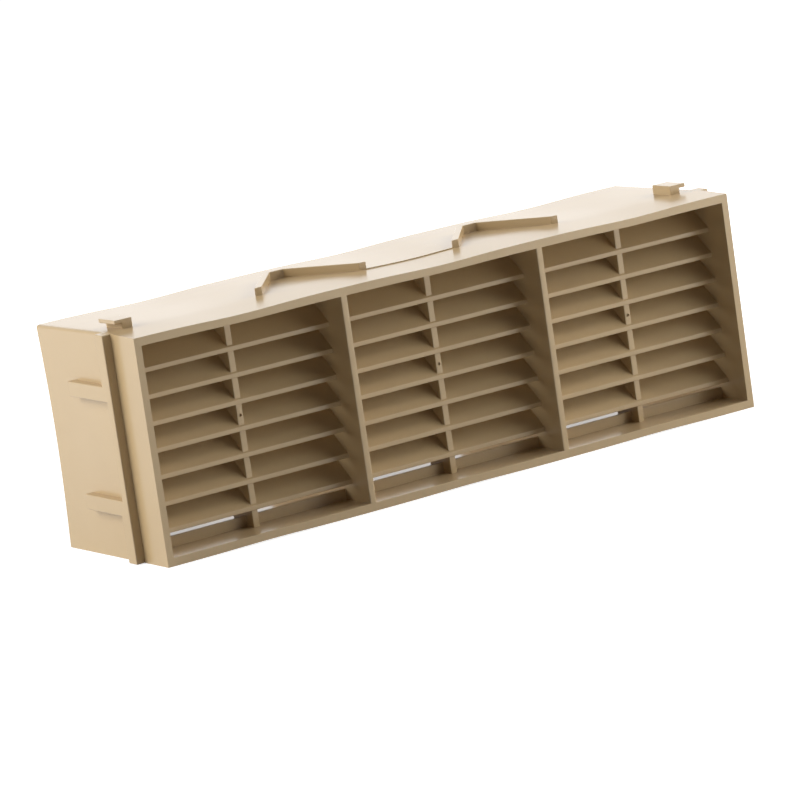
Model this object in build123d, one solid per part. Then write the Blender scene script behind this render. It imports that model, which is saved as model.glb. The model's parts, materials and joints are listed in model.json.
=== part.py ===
from build123d import *
import os
from math import atan2, cos, radians, sin, tan

# A plastic brick vent, moulded in one piece: a rectangular sleeve that is open at the back,
# with a louvred front in three bays. Lengths are in millimetres, angles in degrees.
# It is drawn with its front face on y = 0 and its underside on z = 0, and the finished
# piece is then moved so that the origin lies under the middle of its box.

# Sleeve
WIDTH = 215.0  # front face, left to right
HEIGHT = 68.0  # front face, bottom to top
DEPTH = 58.0  # front face to back edge
SIDE_WALL = 2.2
TOP_WALL = 2.55
FLOOR = 2.5
PART_LINE = 17.2  # front face to the mould's parting line across the top
TOP_DRAFT = 0.6  # the top climbs this far from the front edge to the parting line
BACK_DRAFT = 0.4  # and falls this far again to the back edge
BAYS = 3
PARTITION = 2.15  # thickness of the walls between bays

# Louvres
SLAT_COUNT = 7
SLAT_SETBACK = 8.8  # front face to the slats' front edges
SLAT_DEPTH = 8.0  # front edge to back edge, measured level
SLAT_ANGLE = 38.0  # climb towards the back
SLAT_EDGE = 1.6  # upright height of a slat's front edge
TOP_OPENING = 8.25  # roof of a bay down to the highest slat's front edge
LOW_OPENING = 6.7  # floor of a bay up to the lowest slat's front edge
SILL_SETBACK = 13.2  # front face to the sill behind the lowest opening
SILL_THICK = 1.6
SILL_RISE = 3.4
MID_RIB = 2.1  # thickness of the upright in the middle of each bay
MID_RIB_INSET = 0.5  # its front edge lies this far behind the slats' front edges
MID_RIB_DEPTH = 11.2
GATE_RADIUS = 0.5  # pit in each upright where the moulding gate was broken off
GATE_DEEP = 0.6
GATE_HEIGHT = 36.5  # its middle above the underside

# Side ridges and the lugs behind them
RIDGE_SETBACK = 13.5
RIDGE_DEPTH = 4.7  # at both ends, as far as the lugs
RIDGE_WAIST = 3.1  # between the lugs
RIDGE_PROUD = 2.8
LUG_TALL = 4.6
LUG_LOW = 14.2  # underside of the sleeve up to the lower lug
LUG_HIGH = 15.0  # top of the front face down to the upper lug
LUG_END = 18.5  # back edge to the back of the lugs

# Chevron ribs on the top, one over each partition
CHEVRON_RISE = 2.4
CHEVRON_WALL = 2.0
CHEVRON_REACH = 19.6  # front ends to the inside of the bend
CHEVRON_FOOT = 17.3  # half of the clear width at the front ends
CHEVRON_BEND = 2.4  # half of the clear width at the bend
PAD_RISE = 0.3  # flat pad between the two chevrons

# Hooks on the top that hold the next vent
HOOK_SETBACK = 16.3  # front face to the hook
HOOK_INSET = 9.4  # side of the sleeve to the inner side of the hook
HOOK_STEM = 3.5
HOOK_LIP = 2.3  # overhang
HOOK_LIP_THICK = 1.2
HOOK_RISE = 2.8
HOOK_LENGTH = 9.5

# Places that follow from the sizes
half_width = WIDTH / 2
inner_half = half_width - SIDE_WALL
roof = HEIGHT - TOP_WALL
ridge_back = RIDGE_SETBACK + RIDGE_DEPTH
crown = HEIGHT + TOP_DRAFT
bay_width = (2 * inner_half - (BAYS - 1) * PARTITION) / BAYS
bay_pitch = bay_width + PARTITION
bay_centres = [bay_pitch * (i - (BAYS - 1) / 2) for i in range(BAYS)]
partition_centres = [bay_pitch * (i - BAYS / 2) for i in range(1, BAYS)]
lowest_edge = FLOOR + LOW_OPENING
slat_pitch = (roof - TOP_OPENING - lowest_edge) / (SLAT_COUNT - 1)
climb = tan(radians(SLAT_ANGLE))
rib_front = SLAT_SETBACK + MID_RIB_INSET
root = min(SIDE_WALL, TOP_WALL, FLOOR) / 2  # how far added pieces run into the walls


def block(x, y, z):
    """A plain block between two ends on each axis."""
    size = Box(x[1] - x[0], y[1] - y[0], z[1] - z[0], align=(Align.MIN,) * 3)
    return Pos(x[0], y[0], z[0]) * size


def bar(profile, x):
    """A bar along X with a constant section, given as (y, z) points."""
    section = Plane.YZ.offset(x[0]) * make_face(Polyline(*profile, close=True))
    return extrude(section, x[1] - x[0])


def plate(outline, z):
    """A plate with an outline of (x, y) points between two heights."""
    section = Plane.XY.offset(z[0]) * make_face(Polyline(*outline, close=True))
    return extrude(section, z[1] - z[0])


def across(side, near, far):
    """The two X ends of something on one side, measured outwards from the middle."""
    return sorted((side * near, side * far))


def envelope(half):
    """A solid with the sleeve's outline from the side, out to this far left and right."""
    profile = [(0, 0), (0, HEIGHT), (PART_LINE, crown), (DEPTH, crown - BACK_DRAFT), (DEPTH, 0)]
    return bar(profile, (-half, half))


def sleeve():
    """The four walls, with the draft on the top, and the walls between bays."""
    shell = envelope(half_width)
    shell -= block((-inner_half, inner_half), (-root, DEPTH + root), (FLOOR, roof))
    for x in partition_centres:
        shell += block((x - PARTITION / 2, x + PARTITION / 2), (0, DEPTH), (FLOOR - root, roof + root))
    return shell


def slat(edge):
    """One slat across all bays, with the top of its front edge at this height."""
    back = SLAT_SETBACK + SLAT_DEPTH
    rise = SLAT_DEPTH * climb
    profile = [
        (SLAT_SETBACK, edge - SLAT_EDGE),
        (SLAT_SETBACK, edge),
        (back, edge + rise),
        (back, edge + rise - SLAT_EDGE),
    ]
    return bar(profile, (-inner_half - root, inner_half + root))


def sill():
    """The low upright wall on the floor that keeps water out."""
    length = (-inner_half - root, inner_half + root)
    thickness = (SILL_SETBACK, SILL_SETBACK + SILL_THICK)
    return block(length, thickness, (FLOOR - root, FLOOR + SILL_RISE))


def mid_rib(x):
    """The upright in the middle of a bay."""
    sides = (x - MID_RIB / 2, x + MID_RIB / 2)
    return block(sides, (rib_front, rib_front + MID_RIB_DEPTH), (FLOOR - root, roof + root))


def gate_pit(x):
    """The hole to cut in an upright, or in a slat in front of it, at the gate."""
    bottom = Plane.XZ.offset(-(rib_front + GATE_DEEP)) * Pos(x, GATE_HEIGHT) * Circle(GATE_RADIUS)
    return extrude(bottom, MID_RIB_INSET + GATE_DEEP + root)


def side_ridge(side):
    """The upright ridge on one side that keys into the mortar, with its two lugs."""
    outer = half_width + RIDGE_PROUD
    reach = across(side, half_width - root, outer)
    low_lug = (LUG_LOW, LUG_LOW + LUG_TALL)
    high_lug = (HEIGHT - LUG_HIGH - LUG_TALL, HEIGHT - LUG_HIGH)
    ridge = block(reach, (RIDGE_SETBACK, RIDGE_SETBACK + RIDGE_WAIST), (0, crown))
    for end in ((0, low_lug[1]), (high_lug[0], crown)):
        ridge += block(reach, (RIDGE_SETBACK, ridge_back), end)
    ridge &= envelope(outer)
    for z in (low_lug, high_lug):
        ridge += block(reach, (ridge_back - root, DEPTH - LUG_END), z)
    return ridge


def chevron_foot_width():
    """Width of a chevron's wall where its front end is cut square to the depth."""
    lean = atan2(CHEVRON_REACH, CHEVRON_FOOT - CHEVRON_BEND)
    return CHEVRON_WALL / sin(lean)


def chevron(x):
    """A rib bent twice, like a flattened arch in plan, with its ends on the parting line."""
    lean = atan2(CHEVRON_REACH, CHEVRON_FOOT - CHEVRON_BEND)
    outer_foot = CHEVRON_FOOT + chevron_foot_width()
    outer_bend = CHEVRON_BEND + CHEVRON_WALL * (1 - cos(lean)) / sin(lean)
    bend = PART_LINE + CHEVRON_REACH
    right = [
        (x + outer_bend, bend + CHEVRON_WALL),
        (x + outer_foot, PART_LINE),
        (x + CHEVRON_FOOT, PART_LINE),
        (x + CHEVRON_BEND, bend),
    ]
    left = [(2 * x - px, py) for px, py in reversed(right)]
    return plate(right + left, (HEIGHT - root, crown + CHEVRON_RISE))


def pad(left, right):
    """The flat pad between the chevrons on two neighbouring partitions."""
    reach = CHEVRON_FOOT + chevron_foot_width() / 2
    length = (PART_LINE, PART_LINE + CHEVRON_REACH)
    return block((left + reach, right - reach), length, (HEIGHT - root, crown + PAD_RISE))


def hook(side):
    """An upright with a lip that points outwards, to catch the vent above."""
    inner = half_width - HOOK_INSET
    outer = inner + HOOK_STEM
    crest = crown + HOOK_RISE
    length = (HOOK_SETBACK, HOOK_SETBACK + HOOK_LENGTH)
    stem = block(across(side, inner, outer), length, (HEIGHT - root, crest))
    lip = block(across(side, inner, outer + HOOK_LIP), length, (crest - HOOK_LIP_THICK, crest))
    return stem + lip


def brick_vent():
    """The whole moulding, with the origin under the middle of its box."""
    vent = sleeve()
    for i in range(SLAT_COUNT):
        vent += slat(lowest_edge + i * slat_pitch)
    vent += sill()
    for x in bay_centres:
        vent += mid_rib(x)
        vent -= gate_pit(x)
    for x in partition_centres:
        vent += chevron(x)
    for left, right in zip(partition_centres, partition_centres[1:]):
        vent += pad(left, right)
    for side in (-1, 1):
        vent += side_ridge(side)
        vent += hook(side)
    return Pos(0, -DEPTH / 2, 0) * vent


os.makedirs("parts", exist_ok=True)
export_step(brick_vent(), "parts/brick_vent.step")
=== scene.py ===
# %% [markdown]
# # A plastic brick vent
#
# The object is an air brick: a buff plastic sleeve that is built into an outer wall in the
# place of one brick, with sloping louvres on its face that let air in and keep rain out.
# It is a single injection moulding, so nothing on it is fastened and nothing moves.
#
# The CAD model already has its sizes, with sharp edges and dead flat walls. A real moulding
# has soft edges, walls that shrank a little as they cooled, and a faintly uneven gloss.
# This lesson makes those three things, and then lights the piece as a catalogue does.

# %% Load the frame
import json
from math import atan2, cos, pi, radians, sin, tan

import bmesh
import bpy
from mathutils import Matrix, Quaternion, Vector

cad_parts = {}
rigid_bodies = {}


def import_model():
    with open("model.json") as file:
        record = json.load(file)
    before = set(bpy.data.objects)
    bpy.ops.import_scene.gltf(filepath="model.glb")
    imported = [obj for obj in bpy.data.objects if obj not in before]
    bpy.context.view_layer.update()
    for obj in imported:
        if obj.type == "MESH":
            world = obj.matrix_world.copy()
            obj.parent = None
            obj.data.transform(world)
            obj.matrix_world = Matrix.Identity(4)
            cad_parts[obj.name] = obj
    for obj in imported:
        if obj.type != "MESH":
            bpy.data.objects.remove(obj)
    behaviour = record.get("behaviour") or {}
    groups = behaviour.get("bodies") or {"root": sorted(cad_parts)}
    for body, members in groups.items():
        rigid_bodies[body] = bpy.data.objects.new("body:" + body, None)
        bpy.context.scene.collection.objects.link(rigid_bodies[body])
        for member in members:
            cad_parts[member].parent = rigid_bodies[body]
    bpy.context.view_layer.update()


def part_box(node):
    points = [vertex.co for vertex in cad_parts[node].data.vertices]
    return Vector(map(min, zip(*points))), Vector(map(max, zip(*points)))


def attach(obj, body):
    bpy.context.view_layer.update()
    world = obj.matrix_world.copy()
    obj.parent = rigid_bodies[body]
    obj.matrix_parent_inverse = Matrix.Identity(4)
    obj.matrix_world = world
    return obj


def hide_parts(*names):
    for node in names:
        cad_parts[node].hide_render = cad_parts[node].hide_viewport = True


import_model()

# %% [markdown]
# ## Sizes
#
# Everything is in metres, in the frame of the CAD model: X to the right, Y to the back, Z up,
# and the underside on Z = 0. Only a few sizes are written down. The rest follow from the box
# of the CAD node, so that the visual model can't drift away from the solid that it stands for.
# `ROOT` is how far each added form runs into the wall that carries it: forms that only touch
# are hard to unite, and forms that overlap are easy.

# %% Sizes of the sleeve and its bays
RIDGE_PROUD = 0.0028
HOOK_RISE = 0.0028
PART_LINE = 0.0172
TOP_DRAFT = 0.0006
BACK_DRAFT = 0.0004
SIDE_WALL = 0.0022
TOP_WALL = 0.00255
FLOOR = 0.0025
BAYS = 3
PARTITION = 0.00215
ROOT = 0.0011

low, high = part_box("brick_vent")
front = low.y
back = high.y
part_line = front + PART_LINE
half_width = high.x - RIDGE_PROUD
crown = high.z - HOOK_RISE
height = crown - TOP_DRAFT
roof = height - TOP_WALL
inner_half = half_width - SIDE_WALL
bay_width = (2 * inner_half - (BAYS - 1) * PARTITION) / BAYS
bay_pitch = bay_width + PARTITION
print(f"sleeve {2 * half_width:.4f} wide, {height:.4f} high, bays every {bay_pitch:.5f}")

# %% [markdown]
# ## The plastic
#
# The vent is moulded from one batch of buff polypropylene. At first sight that is one colour,
# but the melt leaves soft paler and darker streaks where it flowed, and the steel of the mould
# leaves a fine grain that breaks up the gloss. A photograph could be wrapped round the piece,
# but a few noise textures do the same at any size and need no seams. They read Object
# coordinates, so the streaks stay put on the piece, and they are stretched along X because the
# melt ran from the gates in the middle of the face to both ends.

# %% Helpers that add nodes
def add_node(tree, kind, feeds=None, **options):
    """Adds a node, sets its options, and feeds its inputs with sockets or plain values."""
    made = tree.nodes.new(kind)
    for option, value in options.items():
        setattr(made, option, value)
    for name, value in (feeds or {}).items():
        if isinstance(value, bpy.types.NodeSocket):
            tree.links.new(value, made.inputs[name])
        else:
            made.inputs[name].default_value = value
    return made


def empty_tree(owner):
    """Turns nodes on for a material or a world, and takes out what Blender put there."""
    owner.use_nodes = True
    owner.node_tree.nodes.clear()
    return owner.node_tree


# %% The buff plastic
BUFF = (0.440, 0.317, 0.170, 1.0)
BUFF_PALE = (0.460, 0.335, 0.183, 1.0)
STREAK_SCALE = 30.0
STREAK_DETAIL = 4.0
STREAK_STRETCH = (0.35, 1.0, 1.0)
STREAK_FROM = 0.3
STREAK_TO = 0.7
GLOSS_SCALE = 90.0
GLOSS_DETAIL = 3.0
ROUGH_LEAST = 0.19
ROUGH_MOST = 0.24
GRAIN_SCALE = 1800.0
GRAIN_DETAIL = 2.0
GRAIN_HEIGHT = 0.000002
IOR = 1.5

plastic = bpy.data.materials.new("buff_plastic_moulded")
tree = empty_tree(plastic)
spot_on_piece = add_node(tree, "ShaderNodeTexCoord").outputs["Object"]
drawn_out = add_node(
    tree, "ShaderNodeMapping", {"Vector": spot_on_piece, "Scale": STREAK_STRETCH}
)
streak = add_node(
    tree,
    "ShaderNodeTexNoise",
    {"Vector": drawn_out.outputs["Vector"], "Scale": STREAK_SCALE, "Detail": STREAK_DETAIL},
)
tone = add_node(tree, "ShaderNodeValToRGB", {"Fac": streak.outputs["Fac"]})
tone.color_ramp.elements[0].position = STREAK_FROM
tone.color_ramp.elements[0].color = BUFF
tone.color_ramp.elements[1].position = STREAK_TO
tone.color_ramp.elements[1].color = BUFF_PALE
cloud = add_node(
    tree,
    "ShaderNodeTexNoise",
    {"Vector": spot_on_piece, "Scale": GLOSS_SCALE, "Detail": GLOSS_DETAIL},
)
gloss = add_node(
    tree,
    "ShaderNodeMapRange",
    {"Value": cloud.outputs["Fac"], "To Min": ROUGH_LEAST, "To Max": ROUGH_MOST},
)
grain = add_node(
    tree,
    "ShaderNodeTexNoise",
    {"Vector": spot_on_piece, "Scale": GRAIN_SCALE, "Detail": GRAIN_DETAIL},
)
relief = add_node(
    tree, "ShaderNodeBump", {"Height": grain.outputs["Fac"], "Distance": GRAIN_HEIGHT}
)
shader = add_node(
    tree,
    "ShaderNodeBsdfPrincipled",
    {
        "Base Color": tone.outputs["Color"],
        "Roughness": gloss.outputs["Result"],
        "IOR": IOR,
        "Normal": relief.outputs["Normal"],
    },
)
add_node(tree, "ShaderNodeOutputMaterial", {"Surface": shader.outputs["BSDF"]})
print("finish made:", plastic.name, "with", len(tree.nodes), "nodes")

# %% [markdown]
# ## The sleeve
#
# The sleeve is a box with no front and no back. Its top climbs a little to the mould's parting
# line and falls again behind it, so that it left the mould easily. A cube with a hole cut in it
# would have four huge faces, and those can't bend. Here the walls are drawn as rows of points
# round the outside and the inside, joined into a grid of quads, which will bend smoothly later.
# The Bevel modifier then rounds the edges, by an amount that each edge carries as its weight:
# the long edges at the back are softer than the crisp rim.

# %% Helpers that keep and settle a piece
mouldings = bpy.data.collections.new("mouldings")
bpy.context.scene.collection.children.link(mouldings)


def keep(name, shape, group):
    """Makes an object of a bmesh, with its faces turned outwards, and puts it in a collection."""
    bmesh.ops.recalc_face_normals(shape, faces=shape.faces)
    mesh = bpy.data.meshes.new(name)
    shape.to_mesh(mesh)
    shape.free()
    mesh.materials.append(plastic)
    piece = bpy.data.objects.new(name, mesh)
    group.objects.link(piece)
    return piece


def settle(piece):
    """Gives a piece the mesh that its modifiers make of it, and takes them off."""
    evaluated = piece.evaluated_get(bpy.context.evaluated_depsgraph_get())
    mesh = bpy.data.meshes.new_from_object(evaluated)
    piece.modifiers.clear()
    piece.data = mesh
    return piece


# %% The four walls
CUTS_ACROSS = 48
CUTS_UP = 14
CUTS_FRONT = 4
CUTS_BACK = 9
EDGE_ROUND = 0.00030
BACK_ROUND = 0.0010
ROUND_STEPS = 3
SHARP = radians(30)


def top_at(y):
    """Height of the sleeve's top at a place along its depth."""
    if y < part_line:
        return height + TOP_DRAFT * (y - front) / PART_LINE
    return crown - BACK_DRAFT * (y - part_line) / (back - part_line)


def lap(half, bottom, top):
    """The points of one lap of a wall, seen from the front: bottom, right, top and left."""
    along = [half * (2 * i / CUTS_ACROSS - 1) for i in range(CUTS_ACROSS)]
    upward = [(top - bottom) * i / CUTS_UP for i in range(CUTS_UP)]
    points = [(x, bottom) for x in along]
    points += [(half, bottom + rise) for rise in upward]
    points += [(-x, top) for x in along]
    points += [(-half, top - rise) for rise in upward]
    return points


def skin(shape, rows):
    """Joins each row of points to the next with quads, all the way round."""
    for near, far in zip(rows, rows[1:]):
        for i in range(len(near)):
            shape.faces.new((near[i - 1], near[i], far[i], far[i - 1]))


stations = [front + PART_LINE * i / CUTS_FRONT for i in range(CUTS_FRONT)]
stations += [part_line + (back - part_line) * i / CUTS_BACK for i in range(CUTS_BACK + 1)]
walls = bmesh.new()
outside = []
inside = []
for y in stations:
    outside.append([walls.verts.new((x, y, z)) for x, z in lap(half_width, 0, top_at(y))])
    inside.append([walls.verts.new((x, y, z)) for x, z in lap(inner_half, FLOOR, roof)])
skin(walls, outside)
skin(walls, inside)
skin(walls, [outside[0], inside[0]])
skin(walls, [outside[-1], inside[-1]])

weight = walls.edges.layers.float.new("bevel_weight_edge")
for edge in walls.edges:
    if edge.calc_face_angle() > SHARP:
        edge[weight] = EDGE_ROUND / BACK_ROUND
for row, following in zip(outside[CUTS_FRONT:], outside[CUTS_FRONT + 1:]):
    for corner in (CUTS_ACROSS + CUTS_UP, 2 * CUTS_ACROSS + CUTS_UP):
        walls.edges.get((row[corner], following[corner]))[weight] = 1.0

sleeve = keep("brick_vent_moulding", walls, bpy.context.scene.collection)
rounding = sleeve.modifiers.new("soft edges", "BEVEL")
rounding.limit_method = "WEIGHT"
rounding.width = BACK_ROUND
rounding.segments = ROUND_STEPS
settle(sleeve)
print("sleeve has", len(sleeve.data.polygons), "faces")

# %% [markdown]
# ## A tree for bars with soft edges
#
# Slats, uprights and the walls between bays are all bars: one section, drawn out along a line.
# They repeat to a rule, so Geometry Nodes make them. The first tree draws one bar: four corner
# points make a closed curve, Fillet Curve rounds its corners, Fill Curve makes it a face and
# Extrude Mesh draws that out. The extrusion leaves its near end open, so a flipped copy of the
# face closes it. Other trees use this one as a single node.

# %% Helpers for trees
SOCKETS = {float: "NodeSocketFloat", int: "NodeSocketInt", tuple: "NodeSocketVector"}


def new_tree(name, sizes):
    """A Geometry Nodes tree with named inputs: the tree, its inputs and where its result goes."""
    tree = bpy.data.node_groups.new(name, "GeometryNodeTree")
    tree.interface.new_socket("Geometry", in_out="INPUT", socket_type="NodeSocketGeometry")
    for label, value in sizes.items():
        socket = tree.interface.new_socket(label, in_out="INPUT", socket_type=SOCKETS[type(value)])
        socket.default_value = value
    tree.interface.new_socket("Geometry", in_out="OUTPUT", socket_type="NodeSocketGeometry")
    given = tree.nodes.new("NodeGroupInput")
    result = tree.nodes.new("NodeGroupOutput")
    return tree, given.outputs, result.inputs["Geometry"]


def calc(tree, operation, first, second=0.0):
    """One sum on sockets or numbers."""
    return add_node(tree, "ShaderNodeMath", {0: first, 1: second}, operation=operation).outputs[0]


def point(tree, x=0.0, y=0.0, z=0.0):
    """A vector from sockets or numbers."""
    return add_node(tree, "ShaderNodeCombineXYZ", {"X": x, "Y": y, "Z": z}).outputs["Vector"]


def set_inputs(modifier, sizes):
    """Sets a tree's named inputs on a modifier, each by its socket's identifier."""
    for item in modifier.node_group.interface.items_tree:
        if item.in_out == "INPUT" and item.name in sizes:
            modifier[item.identifier] = sizes[item.name]


def close_tree(tree, geometry, result):
    """Ends a tree: copies become real geometry, and take the plastic."""
    real = add_node(tree, "GeometryNodeRealizeInstances", {"Geometry": geometry})
    dressed = add_node(
        tree, "GeometryNodeSetMaterial", {"Geometry": real.outputs[0], "Material": plastic}
    )
    tree.links.new(dressed.outputs[0], result)


# %% The tree for one bar
FILLET_STEPS = 3
WELD = 0.000001
NOWHERE = (0.0, 0.0, 0.0)

bar_tree, size, result = new_tree(
    "soft_bar",
    {
        "Corner 1": NOWHERE,
        "Corner 2": NOWHERE,
        "Corner 3": NOWHERE,
        "Corner 4": NOWHERE,
        "Rounding": EDGE_ROUND,
        "Length": bay_width,
    },
)
section = add_node(
    bar_tree,
    "GeometryNodeCurvePrimitiveQuadrilateral",
    {f"Point {i}": size[f"Corner {i}"] for i in range(1, 5)},
    mode="POINTS",
)
fillet = add_node(
    bar_tree,
    "GeometryNodeFilletCurve",
    {"Curve": section.outputs[0], "Count": FILLET_STEPS, "Radius": size["Rounding"]},
    mode="POLY",
)
end_face = add_node(bar_tree, "GeometryNodeFillCurve", {"Curve": fillet.outputs[0]}, mode="NGONS")
drawn = add_node(
    bar_tree,
    "GeometryNodeExtrudeMesh",
    {
        "Mesh": end_face.outputs[0],
        "Offset": (0.0, 0.0, 1.0),
        "Offset Scale": size["Length"],
        "Individual": False,
    },
)
near_end = add_node(bar_tree, "GeometryNodeFlipFaces", {"Mesh": end_face.outputs[0]})
both = add_node(bar_tree, "GeometryNodeJoinGeometry", {"Geometry": drawn.outputs["Mesh"]})
bar_tree.links.new(near_end.outputs[0], both.inputs["Geometry"])
closed = add_node(
    bar_tree, "GeometryNodeMergeByDistance", {"Geometry": both.outputs[0], "Distance": WELD}
)
bar_tree.links.new(closed.outputs[0], result)
print("tree made:", bar_tree.name)

# %% [markdown]
# ## The slats
#
# Seven slats run right across the vent, through the walls between bays. Each climbs to the back
# so that rain runs off it to the outside. The tree takes the bar, lays it along X with a turn of
# a right angle about X and one about Z, and puts a copy on each point of an upright line.

# %% Sizes of the slats
SLATS = 7
SLAT_SETBACK = 0.0088
SLAT_DEPTH = 0.0080
SLAT_ANGLE = radians(38)
SLAT_EDGE = 0.0016
TOP_OPENING = 0.00825
LOW_OPENING = 0.0067
SLAT_ROUND = 0.00022

lowest_edge = FLOOR + LOW_OPENING
slat_pitch = (roof - TOP_OPENING - lowest_edge) / (SLATS - 1)
slat_front = front + SLAT_SETBACK
bar_length = 2 * (inner_half + ROOT)
print(f"a slat every {slat_pitch:.5f}, each {bar_length:.4f} long")


# %% The tree for the slats, and the slats
def grow(name, tree, sizes):
    """Makes a piece with a tree, with its named inputs set, and settles it as a plain mesh."""
    piece = bpy.data.objects.new(name, bpy.data.meshes.new(name))
    mouldings.objects.link(piece)
    modifier = piece.modifiers.new(name, "NODES")
    modifier.node_group = tree
    set_inputs(modifier, sizes)
    return settle(piece)


slat_sizes = {
    "Slats": SLATS,
    "Pitch": slat_pitch,
    "First Edge": lowest_edge,
    "Front": slat_front,
    "Depth": SLAT_DEPTH,
    "Climb": tan(SLAT_ANGLE),
    "Edge": SLAT_EDGE,
    "Rounding": SLAT_ROUND,
    "Length": bar_length,
}
slat_tree, size, result = new_tree("slats", slat_sizes)
rise = calc(slat_tree, "MULTIPLY", size["Depth"], size["Climb"])
rear = calc(slat_tree, "ADD", size["Front"], size["Depth"])
under_front = calc(slat_tree, "MULTIPLY", size["Edge"], -1.0)
under_rear = calc(slat_tree, "SUBTRACT", rise, size["Edge"])
bar = add_node(
    slat_tree,
    "GeometryNodeGroup",
    {
        "Corner 1": point(slat_tree, size["Front"], under_front),
        "Corner 2": point(slat_tree, rear, under_rear),
        "Corner 3": point(slat_tree, rear, rise),
        "Corner 4": point(slat_tree, size["Front"], 0.0),
        "Rounding": size["Rounding"],
        "Length": size["Length"],
    },
    node_tree=bar_tree,
)
left_end = calc(slat_tree, "MULTIPLY", size["Length"], -0.5)
laid = add_node(
    slat_tree,
    "GeometryNodeTransform",
    {
        "Geometry": bar.outputs[0],
        "Translation": point(slat_tree, left_end),
        "Rotation": (pi / 2, 0.0, pi / 2),
    },
)
ladder = add_node(
    slat_tree,
    "GeometryNodeMeshLine",
    {
        "Count": size["Slats"],
        "Start Location": point(slat_tree, 0.0, 0.0, size["First Edge"]),
        "Offset": point(slat_tree, 0.0, 0.0, size["Pitch"]),
    },
)
copies = add_node(
    slat_tree,
    "GeometryNodeInstanceOnPoints",
    {"Points": ladder.outputs[0], "Instance": laid.outputs[0]},
)
close_tree(slat_tree, copies.outputs[0], result)
slats = grow("slats", slat_tree, slat_sizes)
print("slats have", len(slats.data.polygons), "faces")

# %% [markdown]
# ## The uprights
#
# Two full-depth walls part the bays, and a thinner upright stands in the middle of each bay and
# keeps the slats from bowing. Both are plates on a row of points along X, so one tree makes both
# and only the sizes differ. The walls lie a hair behind the rim: two faces in exactly the same
# plane would make the union that comes later unsure which of them to keep.

# %% A row of copies
def row_across(tree, shape, count, pitch, y, z):
    """Copies of a shape on a row of points along X, with as many on the left as on the right."""
    gaps = calc(tree, "SUBTRACT", count, 1.0)
    half_row = calc(tree, "MULTIPLY", gaps, -0.5)
    first = calc(tree, "MULTIPLY", half_row, pitch)
    row = add_node(
        tree,
        "GeometryNodeMeshLine",
        {
            "Count": count,
            "Start Location": point(tree, first, y, z),
            "Offset": point(tree, pitch),
        },
    )
    copies = add_node(
        tree, "GeometryNodeInstanceOnPoints", {"Points": row.outputs[0], "Instance": shape}
    )
    return copies.outputs[0]


# %% The tree for the uprights, and the uprights
MID_RIB = 0.0021
MID_RIB_INSET = 0.0005
MID_RIB_DEPTH = 0.0112
HAIR = 0.00002

upright_sizes = {
    "Uprights": BAYS,
    "Pitch": bay_pitch,
    "Thickness": MID_RIB,
    "Front": slat_front + MID_RIB_INSET,
    "Depth": MID_RIB_DEPTH,
    "Foot": FLOOR - ROOT,
    "Height": roof - FLOOR + 2 * ROOT,
    "Rounding": SLAT_ROUND,
}
upright_tree, size, result = new_tree("uprights", upright_sizes)
right = calc(upright_tree, "MULTIPLY", size["Thickness"], 0.5)
left = calc(upright_tree, "MULTIPLY", size["Thickness"], -0.5)
rear = calc(upright_tree, "ADD", size["Front"], size["Depth"])
plate = add_node(
    upright_tree,
    "GeometryNodeGroup",
    {
        "Corner 1": point(upright_tree, left, size["Front"]),
        "Corner 2": point(upright_tree, right, size["Front"]),
        "Corner 3": point(upright_tree, right, rear),
        "Corner 4": point(upright_tree, left, rear),
        "Rounding": size["Rounding"],
        "Length": size["Height"],
    },
    node_tree=bar_tree,
)
plates = row_across(
    upright_tree, plate.outputs[0], size["Uprights"], size["Pitch"], 0.0, size["Foot"]
)
close_tree(upright_tree, plates, result)
mid_ribs = grow("mid_ribs", upright_tree, upright_sizes)
partition_sizes = {
    **upright_sizes,
    "Uprights": BAYS - 1,
    "Thickness": PARTITION,
    "Front": front + HAIR,
    "Depth": back - front - 2 * HAIR,
    "Rounding": EDGE_ROUND,
}
partitions = grow("partitions", upright_tree, partition_sizes)
print("uprights:", len(mid_ribs.data.polygons), "and", len(partitions.data.polygons), "faces")

# %% [markdown]
# ## The forms that stand on the walls
#
# The sill is a low wall behind the lowest opening. Ridges on both sides key into the mortar,
# each with a waist and two lugs that run back from it. On the top are two bent ribs, a thin pad
# between them and two hooks that hold a second vent stacked above. Each is one outline drawn out
# along an axis, too few and too varied to be worth a tree, so one small function draws them all
# with bmesh and the Bevel modifier softens them.

# %% A form with one outline
SIDES = (-1, 1)


def spot(axis, across, up, along):
    """The point that is this far along an axis, and at these places on the other two."""
    return {"X": (along, across, up), "Y": (across, along, up), "Z": (across, up, along)}[axis]


def form(name, outline, axis, ends, soft, cuts=1):
    """A closed form with one outline between two ends of an axis, with soft edges."""
    shape = bmesh.new()
    rows = []
    for i in range(cuts + 1):
        along = ends[0] + (ends[1] - ends[0]) * i / cuts
        rows.append([shape.verts.new(spot(axis, a, b, along)) for a, b in outline])
    skin(shape, rows)
    shape.faces.new(rows[0])
    shape.faces.new(rows[-1])
    piece = keep(name, shape, mouldings)
    bevel = piece.modifiers.new("soft edges", "BEVEL")
    bevel.limit_method = "ANGLE"
    bevel.angle_limit = SHARP
    bevel.width = soft
    bevel.segments = ROUND_STEPS
    return settle(piece)


# %% The sill
SILL_SETBACK = 0.0132
SILL_THICK = 0.0016
SILL_RISE = 0.0034

sill_front = front + SILL_SETBACK
sill_back = sill_front + SILL_THICK
sill_outline = [
    (sill_front, FLOOR - ROOT),
    (sill_back, FLOOR - ROOT),
    (sill_back, FLOOR + SILL_RISE),
    (sill_front, FLOOR + SILL_RISE),
]
sill_ends = (-inner_half - ROOT, inner_half + ROOT)
form("sill", sill_outline, "X", sill_ends, SLAT_ROUND)
print(f"sill stands {SILL_RISE:.4f} above the floor")

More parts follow.
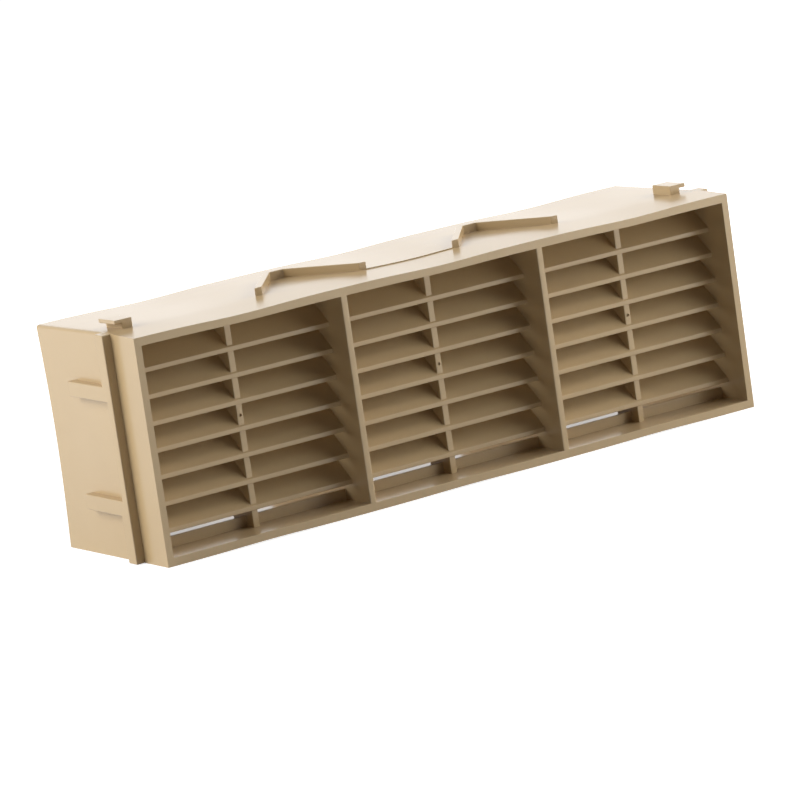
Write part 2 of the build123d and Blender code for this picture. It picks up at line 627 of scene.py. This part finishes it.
# %% The ridges and lugs
RIDGE_SETBACK = 0.0135
RIDGE_DEPTH = 0.0047
RIDGE_WAIST = 0.0031
LUG_TALL = 0.0046
LUG_LOW = 0.0142
LUG_HIGH = 0.0150
LUG_END = 0.0185
SMALL_ROUND = 0.0002

ridge_front = front + RIDGE_SETBACK
ridge_back = ridge_front + RIDGE_DEPTH
ridge_waist = ridge_front + RIDGE_WAIST
lug_back = back - LUG_END
low_lug = (LUG_LOW, LUG_LOW + LUG_TALL)
high_lug = (height - LUG_HIGH - LUG_TALL, height - LUG_HIGH)
ridge_outline = [
    (ridge_front, HAIR),
    (ridge_back, HAIR),
    (ridge_back, low_lug[0]),
    (lug_back, low_lug[0]),
    (lug_back, low_lug[1]),
    (ridge_waist, low_lug[1]),
    (ridge_waist, high_lug[0]),
    (lug_back, high_lug[0]),
    (lug_back, high_lug[1]),
    (ridge_back, high_lug[1]),
    (ridge_back, top_at(ridge_back) - HAIR),
    (part_line, crown - HAIR),
    (ridge_front, top_at(ridge_front) - HAIR),
]
for side in SIDES:
    ends = (side * (half_width - ROOT), side * high.x)
    form(f"ridge_{side}", ridge_outline, "X", ends, EDGE_ROUND)

# %% The bent ribs and the pad on the top
CHEVRON_RISE = 0.0024
CHEVRON_WALL = 0.0020
CHEVRON_REACH = 0.0196
CHEVRON_FOOT = 0.0173
CHEVRON_BEND = 0.0024
PAD_RISE = 0.0003
PAD_CUTS = 12
PAD_ROUND = 0.0001

lean = atan2(CHEVRON_REACH, CHEVRON_FOOT - CHEVRON_BEND)
foot_width = CHEVRON_WALL / sin(lean)
outer_bend = CHEVRON_BEND + CHEVRON_WALL * (1 - cos(lean)) / sin(lean)
bend = part_line + CHEVRON_REACH
half_rib = [
    (outer_bend, bend + CHEVRON_WALL),
    (CHEVRON_FOOT + foot_width, part_line),
    (CHEVRON_FOOT, part_line),
    (CHEVRON_BEND, bend),
]
for middle in (-bay_pitch / 2, bay_pitch / 2):
    rib_outline = [(middle + x, y) for x, y in half_rib]
    rib_outline += [(middle - x, y) for x, y in reversed(half_rib)]
    ends = (height - ROOT, crown + CHEVRON_RISE)
    form(f"bent_rib_{middle:.3f}", rib_outline, "Z", ends, SMALL_ROUND)
pad_half = bay_pitch / 2 - CHEVRON_FOOT - foot_width / 2
pad_outline = [
    (part_line, height - ROOT),
    (part_line + CHEVRON_REACH, height - ROOT),
    (part_line + CHEVRON_REACH, crown + PAD_RISE),
    (part_line, crown + PAD_RISE),
]
form("pad", pad_outline, "X", (-pad_half, pad_half), PAD_ROUND, PAD_CUTS)
print(f"the ribs lean {lean:.3f} rad and the pad is {2 * pad_half:.4f} wide")

# %% The hooks
HOOK_SETBACK = 0.0163
HOOK_INSET = 0.0094
HOOK_STEM = 0.0035
HOOK_LIP = 0.0023
HOOK_LIP_THICK = 0.0012
HOOK_LENGTH = 0.0095

stem_in = half_width - HOOK_INSET
stem_out = stem_in + HOOK_STEM
hook_outline = [
    (stem_in, height - ROOT),
    (stem_out, height - ROOT),
    (stem_out, high.z - HOOK_LIP_THICK),
    (stem_out + HOOK_LIP, high.z - HOOK_LIP_THICK),
    (stem_out + HOOK_LIP, high.z),
    (stem_in, high.z),
]
hook_ends = (front + HOOK_SETBACK, front + HOOK_SETBACK + HOOK_LENGTH)
for side in SIDES:
    outline = [(side * x, z) for x, z in hook_outline]
    form(f"hook_{side}", outline, "Y", hook_ends, SMALL_ROUND)

# %% [markdown]
# ## One moulding
#
# The real vent is one piece of plastic, so the forms are united into one closed skin. They could
# be left as overlapping shells, which would render the same, but a printer or a simulator would
# find walls inside walls. The Boolean modifier's exact solver unites the sleeve with the whole
# collection at once. A second one takes out the three small pits where the plastic was broken
# off the gates. The cutters are equal and evenly spaced, so a tree makes them in a row. The union
# leaves faces with many corners, which would fold when the walls bend, so those are split.

# %% The cutters for the gate pits
GATE_RADIUS = 0.0005
GATE_DEEP = 0.0006
GATE_HEIGHT = 0.0365
GATE_SIDES = 20

pit_sizes = {
    "Pits": BAYS,
    "Pitch": bay_pitch,
    "Radius": GATE_RADIUS,
    "Length": 2 * GATE_DEEP,
    "Front": slat_front + MID_RIB_INSET,
    "Height": GATE_HEIGHT,
}
pit_tree, size, result = new_tree("gate_pits", pit_sizes)
pin = add_node(
    pit_tree,
    "GeometryNodeMeshCylinder",
    {"Vertices": GATE_SIDES, "Radius": size["Radius"], "Depth": size["Length"]},
)
level = add_node(
    pit_tree,
    "GeometryNodeTransform",
    {"Geometry": pin.outputs["Mesh"], "Rotation": (pi / 2, 0.0, 0.0)},
)
pins = row_across(
    pit_tree, level.outputs[0], size["Pits"], size["Pitch"], size["Front"], size["Height"]
)
close_tree(pit_tree, pins, result)
cutters = grow("gate_pits", pit_tree, pit_sizes)
mouldings.objects.unlink(cutters)
bpy.context.scene.collection.objects.link(cutters)
print("pits to cut:", BAYS)

# %% Unite the forms
unite = sleeve.modifiers.new("unite", "BOOLEAN")
unite.operation = "UNION"
unite.operand_type = "COLLECTION"
unite.collection = mouldings
unite.solver = "EXACT"
pits = sleeve.modifiers.new("gate pits", "BOOLEAN")
pits.operation = "DIFFERENCE"
pits.object = cutters
pits.solver = "EXACT"
settle(sleeve)
for piece in [*mouldings.objects, cutters]:
    bpy.data.objects.remove(piece)
bpy.data.collections.remove(mouldings)

skin_now = bmesh.new()
skin_now.from_mesh(sleeve.data)
many_sided = [face for face in skin_now.faces if len(face.verts) > 4]
bmesh.ops.triangulate(skin_now, faces=many_sided)
bmesh.ops.dissolve_degenerate(skin_now, edges=skin_now.edges, dist=WELD)
skin_now.to_mesh(sleeve.data)
skin_now.free()
print("moulding has", len(sleeve.data.polygons), "faces")

# %% [markdown]
# ## Walls that shrank
#
# Long thin walls of plastic don't cool flat. Between two partitions the top of this vent hangs a
# little, the floor bows up, and behind the ridges the side walls lean in at half height. The
# bows are well under a millimetre, but they bend every long straight edge and highlight, and
# without them the piece looks drawn and not moulded. Sculpting would do, but the bows follow a
# rule: a smooth wave that is nil at each partition, multiplied by itself until it is narrow. So
# a tree moves the points with Set Position, and each bow is one number to change. `BOW_REACH`
# says over how many wall thicknesses the bow of the top or the floor dies out inside the vent.

# %% The tree that bows the walls
TOP_SAG = 0.0005
FLOOR_BOW = 0.00025
SIDE_BOW = 0.0009
BOW_REACH = 2.0

bow_sizes = {
    "Top Sag": TOP_SAG,
    "Floor Bow": FLOOR_BOW,
    "Side Bow": SIDE_BOW,
    "Reach": BOW_REACH,
    "Bay Pitch": bay_pitch,
    "Height": height,
    "Top Wall": TOP_WALL,
    "Floor": FLOOR,
    "Inner Half": inner_half,
    "Side Wall": SIDE_WALL,
    "Bow Start": ridge_back,
    "Back": back,
}
bow_tree, size, result = new_tree("wall_bows", bow_sizes)


def share(value, start, stop):
    """How far a value has come from start to stop, eased, from 0 to 1."""
    feeds = {"Value": value, "From Min": start, "From Max": stop}
    made = add_node(bow_tree, "ShaderNodeMapRange", feeds, interpolation_type="SMOOTHSTEP")
    return made.outputs["Result"]


spot_now = add_node(bow_tree, "GeometryNodeInputPosition").outputs[0]
axes = add_node(bow_tree, "ShaderNodeSeparateXYZ", {"Vector": spot_now}).outputs
turns = calc(bow_tree, "DIVIDE", axes["X"], size["Bay Pitch"])
wave = calc(bow_tree, "COSINE", calc(bow_tree, "MULTIPLY", turns, pi))
hump = calc(bow_tree, "MULTIPLY", wave, wave)
belly = calc(bow_tree, "MULTIPLY", hump, hump)
top_reach = calc(bow_tree, "MULTIPLY", size["Top Wall"], size["Reach"])
floor_reach = calc(bow_tree, "MULTIPLY", size["Floor"], size["Reach"])
near_top = share(axes["Z"], calc(bow_tree, "SUBTRACT", size["Height"], top_reach), size["Height"])
near_floor = share(axes["Z"], floor_reach, 0.0)
sag = calc(bow_tree, "MULTIPLY", near_top, size["Top Sag"])
lift = calc(bow_tree, "MULTIPLY", near_floor, size["Floor Bow"])
up = calc(bow_tree, "MULTIPLY", belly, calc(bow_tree, "SUBTRACT", lift, sag))

off_middle = calc(bow_tree, "ABSOLUTE", axes["X"])
inside_wall = calc(bow_tree, "SUBTRACT", size["Inner Half"], size["Side Wall"])
on_wall = share(off_middle, inside_wall, size["Inner Half"])
deep = share(axes["Y"], size["Bow Start"], size["Back"])
arch = calc(bow_tree, "MULTIPLY", calc(bow_tree, "DIVIDE", axes["Z"], size["Height"]), pi)
waist = calc(bow_tree, "MULTIPLY", calc(bow_tree, "SINE", arch), deep)
lean_in = calc(bow_tree, "MULTIPLY", calc(bow_tree, "MULTIPLY", on_wall, waist), size["Side Bow"])
inward = calc(bow_tree, "MULTIPLY", calc(bow_tree, "SIGN", axes["X"]), -1.0)
aside = calc(bow_tree, "MULTIPLY", lean_in, inward)
moved = add_node(
    bow_tree,
    "GeometryNodeSetPosition",
    {
        "Geometry": bow_tree.nodes["Group Input"].outputs["Geometry"],
        "Offset": point(bow_tree, aside, 0.0, up),
    },
)
close_tree(bow_tree, moved.outputs[0], result)
print("tree made:", bow_tree.name, "with", len(bow_tree.nodes), "nodes")

# %% Bow the walls and shade the moulding
SMOOTH_UP_TO = radians(35)

modifier = sleeve.modifiers.new("wall bows", "NODES")
modifier.node_group = bow_tree
set_inputs(modifier, bow_sizes)
settle(sleeve)
sleeve.data.shade_smooth()
sleeve.data.set_sharp_from_angle(angle=SMOOTH_UP_TO)
even = sleeve.modifiers.new("even shading", "WEIGHTED_NORMAL")
even.keep_sharp = True
settle(sleeve)
print("triangles:", sum(len(face.vertices) - 2 for face in sleeve.data.polygons))

# %% Put the moulding in the frame
vent = sleeve
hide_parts("brick_vent")
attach(vent, "root")
print(vent.name, "stands for the CAD node")

# %% [markdown]
# ## The studio
#
# The photograph is a catalogue cut-out: white all round, with hardly a shadow. The world is a
# white backdrop that sheds no light of its own: Light Path shows it to the camera and to
# reflections only, so the lamps alone shape the object. The floor is plain paper. It takes the
# object's shadow, and the same trick adds a glow to it that grows with distance, so that to the
# camera it fades into the white.

# %% The world
WHITE = (1.0, 1.0, 1.0, 1.0)


def seen_directly(tree):
    """One for rays from the camera and from reflections, nought for soft light."""
    path = add_node(tree, "ShaderNodeLightPath").outputs
    either = calc(tree, "MAXIMUM", path["Is Camera Ray"], path["Is Glossy Ray"])
    return calc(tree, "MAXIMUM", either, path["Is Transmission Ray"])


world = bpy.data.worlds.new("white_studio")
bpy.context.scene.world = world
tree = empty_tree(world)
backdrop = add_node(
    tree, "ShaderNodeBackground", {"Color": WHITE, "Strength": seen_directly(tree)}
)
add_node(tree, "ShaderNodeOutputWorld", {"Surface": backdrop.outputs[0]})
print("world made:", world.name)

# %% The floor
FLOOR_REACH = 6.0
FLOOR_COLOUR = (0.55, 0.55, 0.55, 1.0)
FLOOR_DROP = 0.0001
GLOW_NEAR = 0.75
GLOW_FAR = 1.0
NEAR = 0.15
FAR = 0.45

pale = bpy.data.materials.new("pale_floor")
tree = empty_tree(pale)
paper = add_node(tree, "ShaderNodeBsdfDiffuse", {"Color": FLOOR_COLOUR})
spot_on_floor = add_node(tree, "ShaderNodeTexCoord").outputs["Object"]
from_middle = add_node(tree, "ShaderNodeVectorMath", {0: spot_on_floor}, operation="LENGTH")
strength = add_node(
    tree,
    "ShaderNodeMapRange",
    {
        "Value": from_middle.outputs["Value"],
        "From Min": NEAR,
        "From Max": FAR,
        "To Min": GLOW_NEAR,
        "To Max": GLOW_FAR,
    },
)
glow = add_node(
    tree, "ShaderNodeEmission", {"Color": WHITE, "Strength": strength.outputs["Result"]}
)
lit = add_node(tree, "ShaderNodeAddShader")
tree.links.new(paper.outputs[0], lit.inputs[0])
tree.links.new(glow.outputs[0], lit.inputs[1])
chosen = add_node(tree, "ShaderNodeMixShader", {"Fac": seen_directly(tree)})
tree.links.new(paper.outputs[0], chosen.inputs[1])
tree.links.new(lit.outputs[0], chosen.inputs[2])
add_node(tree, "ShaderNodeOutputMaterial", {"Surface": chosen.outputs[0]})

ground = bmesh.new()
bmesh.ops.create_grid(ground, x_segments=1, y_segments=1, size=FLOOR_REACH)
floor_mesh = bpy.data.meshes.new("floor")
ground.to_mesh(floor_mesh)
ground.free()
floor_mesh.materials.append(pale)
floor = bpy.data.objects.new("floor", floor_mesh)
floor.location.z = -FLOOR_DROP
bpy.context.scene.collection.objects.link(floor)
print("floor laid at", floor.location.z)

# %% [markdown]
# ## The lamps
#
# One lamp would leave half of a piece with so many inner faces black. Here each lamp has one job.
# A broad panel from the left and behind lights the side wall and glances off the top, and a
# panel far to the right lights the fronts at a low angle, so that each slat shades the next. A
# high one in front reaches the tops of the slats, a low one and a small near one fill their
# edges, and a narrow strip just above the floor stands for light thrown back by pale paper. A
# weak one behind is the only lamp that the gloss mirrors. The others would flare on the flat top
# from some sides, so they are hidden from reflections, as a photographer turns a lamp aside.

# %% The lamps
MIDDLE = Vector((0.0, 0.0, height / 2))


def panel(name, place, width, tall, power, mirrored=False):
    """A soft panel of light that faces the middle of the vent, mirrored in its gloss or not."""
    lamp = bpy.data.lights.new(name, "AREA")
    lamp.shape = "RECTANGLE"
    lamp.size = width
    lamp.size_y = tall
    lamp.energy = power
    stand = bpy.data.objects.new(name, lamp)
    stand.location = place
    stand.rotation_euler = (MIDDLE - Vector(place)).to_track_quat("-Z", "Y").to_euler()
    stand.visible_camera = False
    stand.visible_glossy = mirrored
    bpy.context.scene.collection.objects.link(stand)


panel("panel_left", (-0.97, 0.45, 0.58), width=1.0, tall=1.0, power=20.8)
panel("panel_right", (1.071, -0.189, 0.541), width=0.5, tall=0.5, power=10.8)
panel("panel_behind", (0.585, 1.01, 0.305), width=1.2, tall=0.7, power=1.5, mirrored=True)
panel("panel_front_high", (0.545, -0.545, 0.953), width=0.8, tall=0.5, power=2.5)
panel("panel_front_low", (1.014, -0.634, 0.139), width=0.9, tall=0.25, power=2.1)
panel("panel_front_near", (0.465, -0.465, 0.273), width=0.35, tall=0.35, power=0.95)
panel("strip_on_floor", (0.424, -0.424, 0.018), width=0.5, tall=0.03, power=0.62)

# %% [markdown]
# ## The camera
#
# The camera stands to the left of the front and a little above, far off with a long lens, and is
# tipped by a few degrees, so that the vent climbs to the right across the picture. Azimuth and
# elevation are measured round the point that the middle of the picture looks at.

# %% The camera
AZIMUTH = radians(-31.87)
ELEVATION = radians(10.52)
ROLL = radians(-8.19)
DISTANCE = 1.4228
LENS = 215.1
SENSOR = 36.0
AIM = Vector((-0.0213, front, 0.0308))

to_camera = Vector(
    (sin(AZIMUTH) * cos(ELEVATION), -cos(AZIMUTH) * cos(ELEVATION), sin(ELEVATION))
)
camera = bpy.data.objects.new("camera", bpy.data.cameras.new("camera"))
camera.data.lens = LENS
camera.data.sensor_width = SENSOR
camera.location = AIM + to_camera * DISTANCE
camera.rotation_mode = "QUATERNION"
tip = Quaternion((0.0, 0.0, 1.0), ROLL)
camera.rotation_quaternion = (-to_camera).to_track_quat("-Z", "Y") @ tip
bpy.context.scene.collection.objects.link(camera)
bpy.context.scene.camera = camera
bpy.context.scene.view_settings.view_transform = "Standard"
print("camera at", [round(c, 4) for c in camera.location])
